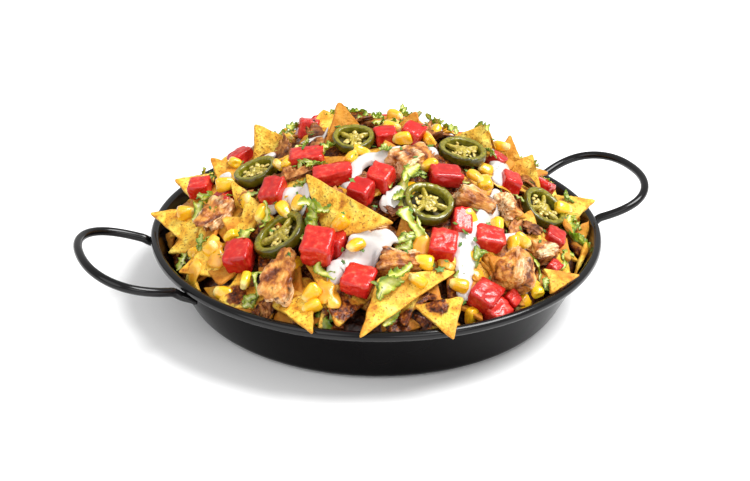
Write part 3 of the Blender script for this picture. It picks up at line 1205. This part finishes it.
size = np.stack([chance.uniform(0.0039, 0.0047, count), chance.uniform(0.0028, 0.0034, count),
                 chance.uniform(0.0048, 0.0057, count)], -1)
points, along = kernel_points(kept_in_pan(middle, 0.006), laid @ axes, size, 84)
fields = {"along": along, "tone": chance.uniform(0, 1, (count, 1, 1))}
sweetcorn = make_piece("sweetcorn", inside_pan(points), corn_finish(), fields)


# ---------------------------------------------------------------- melted cheese
# Grated cheese strewn over the chips and melted under the grill.
# It slumps over them in thin glossy sheets and strings.

def poured(paths, heights, sides, ragged, seed):
    """Strokes laid over the dish: for each path of (x, y, half width, thickness) a closed sweep.

    A point lies at path + w cos b * side, and z is the dish's height there + thickness * sin b above
    and a thin skirt below; w and thickness vary along the path by seeded waves and close at both ends.
    """
    made = []
    for number, path in enumerate(paths):
        rows = 44
        path = even_path(np.array(path, float) / 1000, rows, 2)
        ahead = unit(np.gradient(path[:, :2], axis=0) + 1e-9)
        side = np.stack([-ahead[:, 1], ahead[:, 0]], -1)
        ends = np.minimum(np.linspace(0, 1, rows), np.linspace(1, 0, rows))
        long = np.linalg.norm(np.diff(path[:, :2], axis=0), axis=1).sum()
        close = np.sqrt(np.clip(1 - (1 - np.clip(ends * long / path[:, 2].clip(1e-4), 0, 1)) ** 2, 0, 1))
        b = np.linspace(0, 2 * np.pi, sides, endpoint=False)[None]
        round_it = np.stack([np.cos(b), np.sin(b)], -1)
        place = path[:, None, :2] + round_it * 0.004
        wave = 1 + ragged * rumple(place + number * 0.37, 0.011, seed)
        across = path[:, 2:3] * close[:, None] * wave * np.cos(b)
        flat = path[:, None, :2] + side[:, None] * across[..., None]
        up = np.maximum(np.sin(b), 0) ** 0.75 * path[:, 3:4] * close[:, None] * (0.75 + 0.25 * wave)
        down = np.minimum(np.sin(b), 0) * 0.0016 * close[:, None]
        z = height_at(heights, flat[..., 0], flat[..., 1]) + up + down
        made.append(np.concatenate([flat, z[..., None]], -1))
    return np.array(made)


def cheese_finish():
    finish = Finish("melted_cheese", 0.3, Coat_Weight=0.4, Coat_Roughness=0.12, Subsurface_Weight=0.25,
                    Subsurface_Radius=(1.0, 0.6, 0.15), Subsurface_Scale=0.002)
    cloud = finish.noise(120.0, 3.0)
    finish.colour(finish.ramp(cloud, [(0.3, (0.74, 0.27, 0.012)), (0.55, (0.84, 0.43, 0.03)),
                                      (0.75, (0.90, 0.58, 0.09))]))
    finish.bump((cloud, 0.0008))
    return finish.material


# each run as (x, y, half width, thickness)
CHEESE_MM = (
    ((-102, -13, 1.6, 1.8), (-103, -23, 5, 2.8), (-103, -29, 5, 2.6), (-102, -35, 2.5, 1.6)),
    ((-118, -24, 2.5, 1.6), (-116, -26, 3.4, 2), (-112, -29, 3, 1.6)),
    ((-66, -84, 3, 1.6), (-64, -90, 4.6, 2.2), (-63, -96, 3.6, 2), (-65, -98, 2, 1.6)),
    ((-15, -87, 3, 1.8), (-9, -85, 4, 2.4), (-3, -82, 2.4, 1.8)),
    ((-3, -91, 4, 2), (3, -93, 5, 2.6), (7, -96, 4, 2)),
    ((13, -99, 2.6, 1.8), (17, -101, 4, 2.2), (19, -103, 2.4, 1.6)),
    ((-70, -14, 3, 2), (-64, -10, 4, 2), (-58, -8, 3, 2)),
    ((48, -72, 4, 2), (54, -66, 5, 2.4), (60, -62, 3, 2)))
LOOSE_CHEESE = 36
chance = np.random.default_rng(91)
x, y = scatter(LOOSE_CHEESE, 0.01, 0.108, 92)
turn = chance.uniform(0, 6.3, LOOSE_CHEESE)
long = chance.uniform(5, 10, LOOSE_CHEESE)
wide = chance.uniform(1.6, 4.2, LOOSE_CHEESE)
loose = [[(a - l * math.cos(t), b - l * math.sin(t), w * 0.5, 0.7), (a, b, w, 1.0),
          (a + l * math.cos(t + 0.7), b + l * math.sin(t + 0.7), w * 0.4, 0.7)]
         for a, b, t, l, w in zip(x * 1000, y * 1000, turn, long, wide)]
points = inside_pan(poured([*CHEESE_MM, *loose], chip_bed, 20, 0.55, 93))
kept = ~over_toppings(points)
kept[:len(CHEESE_MM)] = True
melted_cheese = make_piece("melted_cheese", points[kept], cheese_finish())


# ------------------------------------------------------------------- sour cream
# Sour cream, thinned a little and poured from a spoon in zigzags.
# It is white and thick enough to stand in soft ridges where it lands.

def cream_finish():
    finish = Finish("sour_cream", 0.32, Coat_Weight=0.3, Coat_Roughness=0.15, Subsurface_Weight=0.4,
                    Subsurface_Radius=(1.0, 0.9, 0.75), Subsurface_Scale=0.002)
    cloud = finish.noise(90.0, 2.0)
    finish.colour(finish.ramp(cloud, [(0.3, (0.60, 0.57, 0.54)), (0.7, (0.70, 0.67, 0.64))]))
    finish.bump((cloud, 0.0010))
    return finish.material


# each stroke as (x, y, half width, thickness)
CREAM_MM = (
    ((-44, 16, 3, 3), (-37, 17, 4, 3.5), (-30, 16, 4, 3.5), (-27, 9, 3, 3)),
    ((-63, 31, 3, 3), (-57, 29, 4.2, 3.5), (-51, 29, 3, 3)),
    ((-84, 34, 1.6, 1.6), (-80, 32, 2, 2), (-77, 32, 1.6, 1.6)),
    ((-72, -26, 4, 3), (-69, -22, 4.2, 3.5), (-64, -21, 4.4, 3.6), (-59, -23, 4.2, 3.5),
     (-57, -34, 4.2, 3.5), (-55, -41, 3, 3)),
    ((-36, -36, 3.4, 3), (-30, -35, 4, 3.5), (-21, -25, 4.2, 3.6), (-14, -23, 4.2, 3.6),
     (-9, -26, 4.2, 3.6), (-4, -29, 3.6, 3.4), (6, -25, 3.2, 3.2), (16, -21, 3.2, 3), (23, -23, 3.6, 3.2),
     (28, -21, 3, 3)),
    ((0, -50, 3, 3), (-7, -52, 4.4, 3.6), (-15, -56, 5, 4), (-21, -58, 4.4, 3.6)),
    ((-20, -77, 3.6, 3.2), (-24, -79, 4, 3.4), (-29, -80, 4.4, 3.6), (-36, -80, 5, 4), (-45, -79, 5.8, 4.2),
     (-52, -80, 6, 4.4), (-57, -83, 5, 4.2), (-56, -88, 3.6, 3.2)),
    ((-36, -82, 3, 3), (-36, -83, 3.4, 3.2), (-36, -85, 2.4, 2.4)),
    ((55, -49, 3.8, 3.4), (44, -61, 4.2, 3.6), (39, -65, 4, 3.6), (33, -73, 4.4, 3.8), (26, -78, 6, 4.2),
     (20, -82, 7.5, 4.8), (15, -86, 7.5, 5), (12, -91, 6, 4.6), (9, -100, 4.4, 3.8), (6, -104, 3.6, 3.4),
     (4, -108, 3.6, 3.4), (2, -111, 3, 3)),
    ((57, -81, 3.4, 3.2), (53, -80, 4.6, 3.6), (47, -80, 3.4, 3), (41, -81, 1.8, 2), (36, -79, 1.8, 2)),
    ((54, -32, 2.8, 2.8), (64, -25, 4.4, 3.6), (72, -19, 3.6, 3.2), (61, -34, 4.2, 3.6), (55, -42, 3, 3)),
    ((44, 2, 2.4, 2.4), (47, -2, 2.4, 2.4)),
    ((-72, 58, 2, 2), (-58, 52, 3.6, 3), (-44, 56, 5, 3.6), (-34, 60, 2, 2.2)),
    ((-14, 66, 3, 2.6), (-2, 76, 5.5, 3.8), (10, 80, 3.4, 3), (24, 74, 1.6, 2)),
    ((44, 66, 2.2, 2.2), (54, 62, 4.6, 3.4), (70, 60, 2.6, 2.4)),
    ((-58, 88, 2.4, 2.4), (-46, 82, 4.4, 3.2), (-34, 86, 2, 2)),
    ((-8, 98, 2, 2), (6, 104, 4.2, 3.2), (20, 100, 3, 2.6)), ((38, 92, 3.4, 2.8), (50, 90, 2.4, 2.2)),
    ((30, 20, 2, 2), (42, 28, 4.2, 3.4), (54, 26, 2.4, 2.4)),
    ((68, 20, 2, 2), (82, 12, 3.6, 3), (92, 8, 2, 2)))
cream_bed = bedding(CHIPS, 0.0025)
place = (np.arange(len(cream_bed)) + 0.5) * CELL - MAP_HALF
cream_bed = np.minimum(cream_bed, dome(place[:, None], place[None]) + 0.008)
sour_cream = make_piece("sour_cream", inside_pan(poured(CREAM_MM, cream_bed, 40, 0.20, 101)), cream_finish())


# ---------------------------------------------------------------- chopped herbs
# Flat parsley leaves chopped small on a board.
# They are strewn over everything at the end, thickest in the middle.

def herb_finish():
    finish = Finish("chopped_herbs", 0.5)
    cloud = finish.noise(300.0, 2.0)
    finish.colour(finish.ramp(cloud, [(0.3, (0.030, 0.10, 0.010)), (0.7, (0.13, 0.28, 0.03))]))
    finish.bump((cloud, 0.0004))
    return finish.material


# x, y, size, lift over the dome
HERB_MM = (
    (16, -84, 6, 7), (28, -71, 4, 5.7), (-5, -99, 6, 7.4), (-60, -76, 5, 18), (-50, -76, 4, 9),
    (-40, -80, 4, 8), (-45, -2, 4, 8.3), (-33, 19, 4, 5.5), (-32, -45, 5, 9), (-57, -29, 5, 3),
    (22, -24, 4, 4), (-4, -28, 4, 6), (64, -28, 3, 3), (-1, -98, 3, 10), (-70, -28, 3, 6.5),
    (-9, -70, 3, 7.1), (52, -78, 3, 7),
    (20, -88, 4, 7.5), (12, -80, 4, 7.5), (-8, -95, 4, 7))
LOOSE_HERBS = 120
chance = np.random.default_rng(111)
x, y = scatter(LOOSE_HERBS, 0.0, 0.108, 112)
dressed = ("tomato_dice", "torn_chicken", "pulled_meat", "sweetcorn", "melted_cheese", "sour_cream",
           "lettuce_leaves")
herb_bed = bedding((*CHIPS, *dressed), 0.001, 0)
own = np.array(HERB_MM)[:, 2:3] / 2400 * (1.0, 0.75) * chance.uniform(0.9, 1.2, (len(HERB_MM), 2))
strewn = np.stack([chance.uniform(0.0009, 0.0020, LOOSE_HERBS),
                   chance.uniform(0.0006, 0.0013, LOOSE_HERBS)], -1)
size = np.concatenate([np.concatenate([own, strewn]), np.full((len(HERB_MM) + LOOSE_HERBS, 1), 0.00025)], 1)
lift = np.r_[np.array(HERB_MM)[:, 3] / 1000, height_at(herb_bed, x, y) - dome(x, y) + 0.0003]
x, y = np.r_[np.array(HERB_MM)[:, 0] / 1000, x], np.r_[np.array(HERB_MM)[:, 1] / 1000, y]
herb_middle, herb_axes = seats(x, y, lift, 0.9, chance.uniform(0, 6.3, len(x)), 113, 0.6)
ball = ball_grid(7, 20)
lobes = 1 + 0.30 * np.cos(5 * np.arctan2(ball[..., 1], ball[..., 0]))
shape = ball[None] * np.stack([lobes, lobes, 1 + 0 * lobes], -1) * size[:, None, None]
shape[..., 2] += 60 * shape[..., 0] ** 2
points = placed(shape, kept_in_pan(herb_middle, 0.002), herb_axes)
chopped_herbs = make_piece("chopped_herbs", points, herb_finish())


# -------------------------------------------------------------------- studio
# A plain white table, a large soft light high on the right, a fill from the left and a soft front light.
# The camera stands in front, a little to the left, and looks down at about 26 degrees.

def studio_floor():
    """A wide flat sheet of paper, lying at the pan's foot."""
    mesh = bpy.data.meshes.new("table_top")
    corners = [(-4, -4, -0.0002), (4, -4, -0.0002), (4, 4, -0.0002), (-4, 4, -0.0002)]
    mesh.from_pydata(corners, [], [(0, 1, 2, 3)])
    paper = Finish("white_paper", 0.9)
    paper.shader.inputs["Base Color"].default_value = (0.97, 0.97, 0.97, 1.0)
    paper.shader.inputs["Specular IOR Level"].default_value = 0.1
    mesh.materials.append(paper.material)
    table = bpy.data.objects.new("table_top", mesh)
    bpy.context.scene.collection.objects.link(table)


def soft_light(name, place, aim, size, power):
    lamp = bpy.data.lights.new(name, "AREA")
    lamp.shape = "DISK"
    lamp.size = size
    lamp.energy = power
    item = bpy.data.objects.new(name, lamp)
    item.location = place
    item.rotation_euler = (Vector(aim) - Vector(place)).to_track_quat("-Z", "Y").to_euler()
    bpy.context.scene.collection.objects.link(item)


studio_floor()
soft_light("key", (0.60, -0.30, 1.22), (0.0, 0.0, 0.04), 0.75, 23.5)
soft_light("fill", (-1.0, -0.5, 0.8), (0.0, 0.0, 0.05), 1.2, 6.0)
soft_light("front", (0.10, -1.3, 0.75), (0.0, 0.0, 0.05), 0.9, 4.0)

world = bpy.data.worlds.new("studio")
world.use_nodes = True
world.node_tree.nodes["Background"].inputs["Color"].default_value = (1.0, 1.0, 1.0, 1.0)
world.node_tree.nodes["Background"].inputs["Strength"].default_value = 0.61
bpy.context.scene.world = world
bpy.context.scene.view_settings.view_transform = "Standard"

CAMERA_TURN = math.radians(-22.2)
CAMERA_RISE = math.radians(25.8)
CAMERA_ROLL = math.radians(0.67)
CAMERA_DISTANCE = 0.7583
lens = bpy.data.cameras.new("camera")
lens.sensor_width = 36.0
lens.lens = 62.4
lens.shift_x = -0.0017
lens.shift_y = -0.0208
lens.clip_start = 0.01
camera = bpy.data.objects.new("camera", lens)
back = Vector((math.sin(CAMERA_TURN) * math.cos(CAMERA_RISE),
               -math.cos(CAMERA_TURN) * math.cos(CAMERA_RISE), math.sin(CAMERA_RISE)))
camera.location = Vector((0.0, 0.0, PAN_HEIGHT - BEAD)) + back * CAMERA_DISTANCE
camera.rotation_mode = "QUATERNION"
camera.rotation_quaternion = (-back).to_track_quat("-Z", "Y") @ Quaternion((0, 0, 1), CAMERA_ROLL)
bpy.context.scene.collection.objects.link(camera)
bpy.context.scene.camera = camera
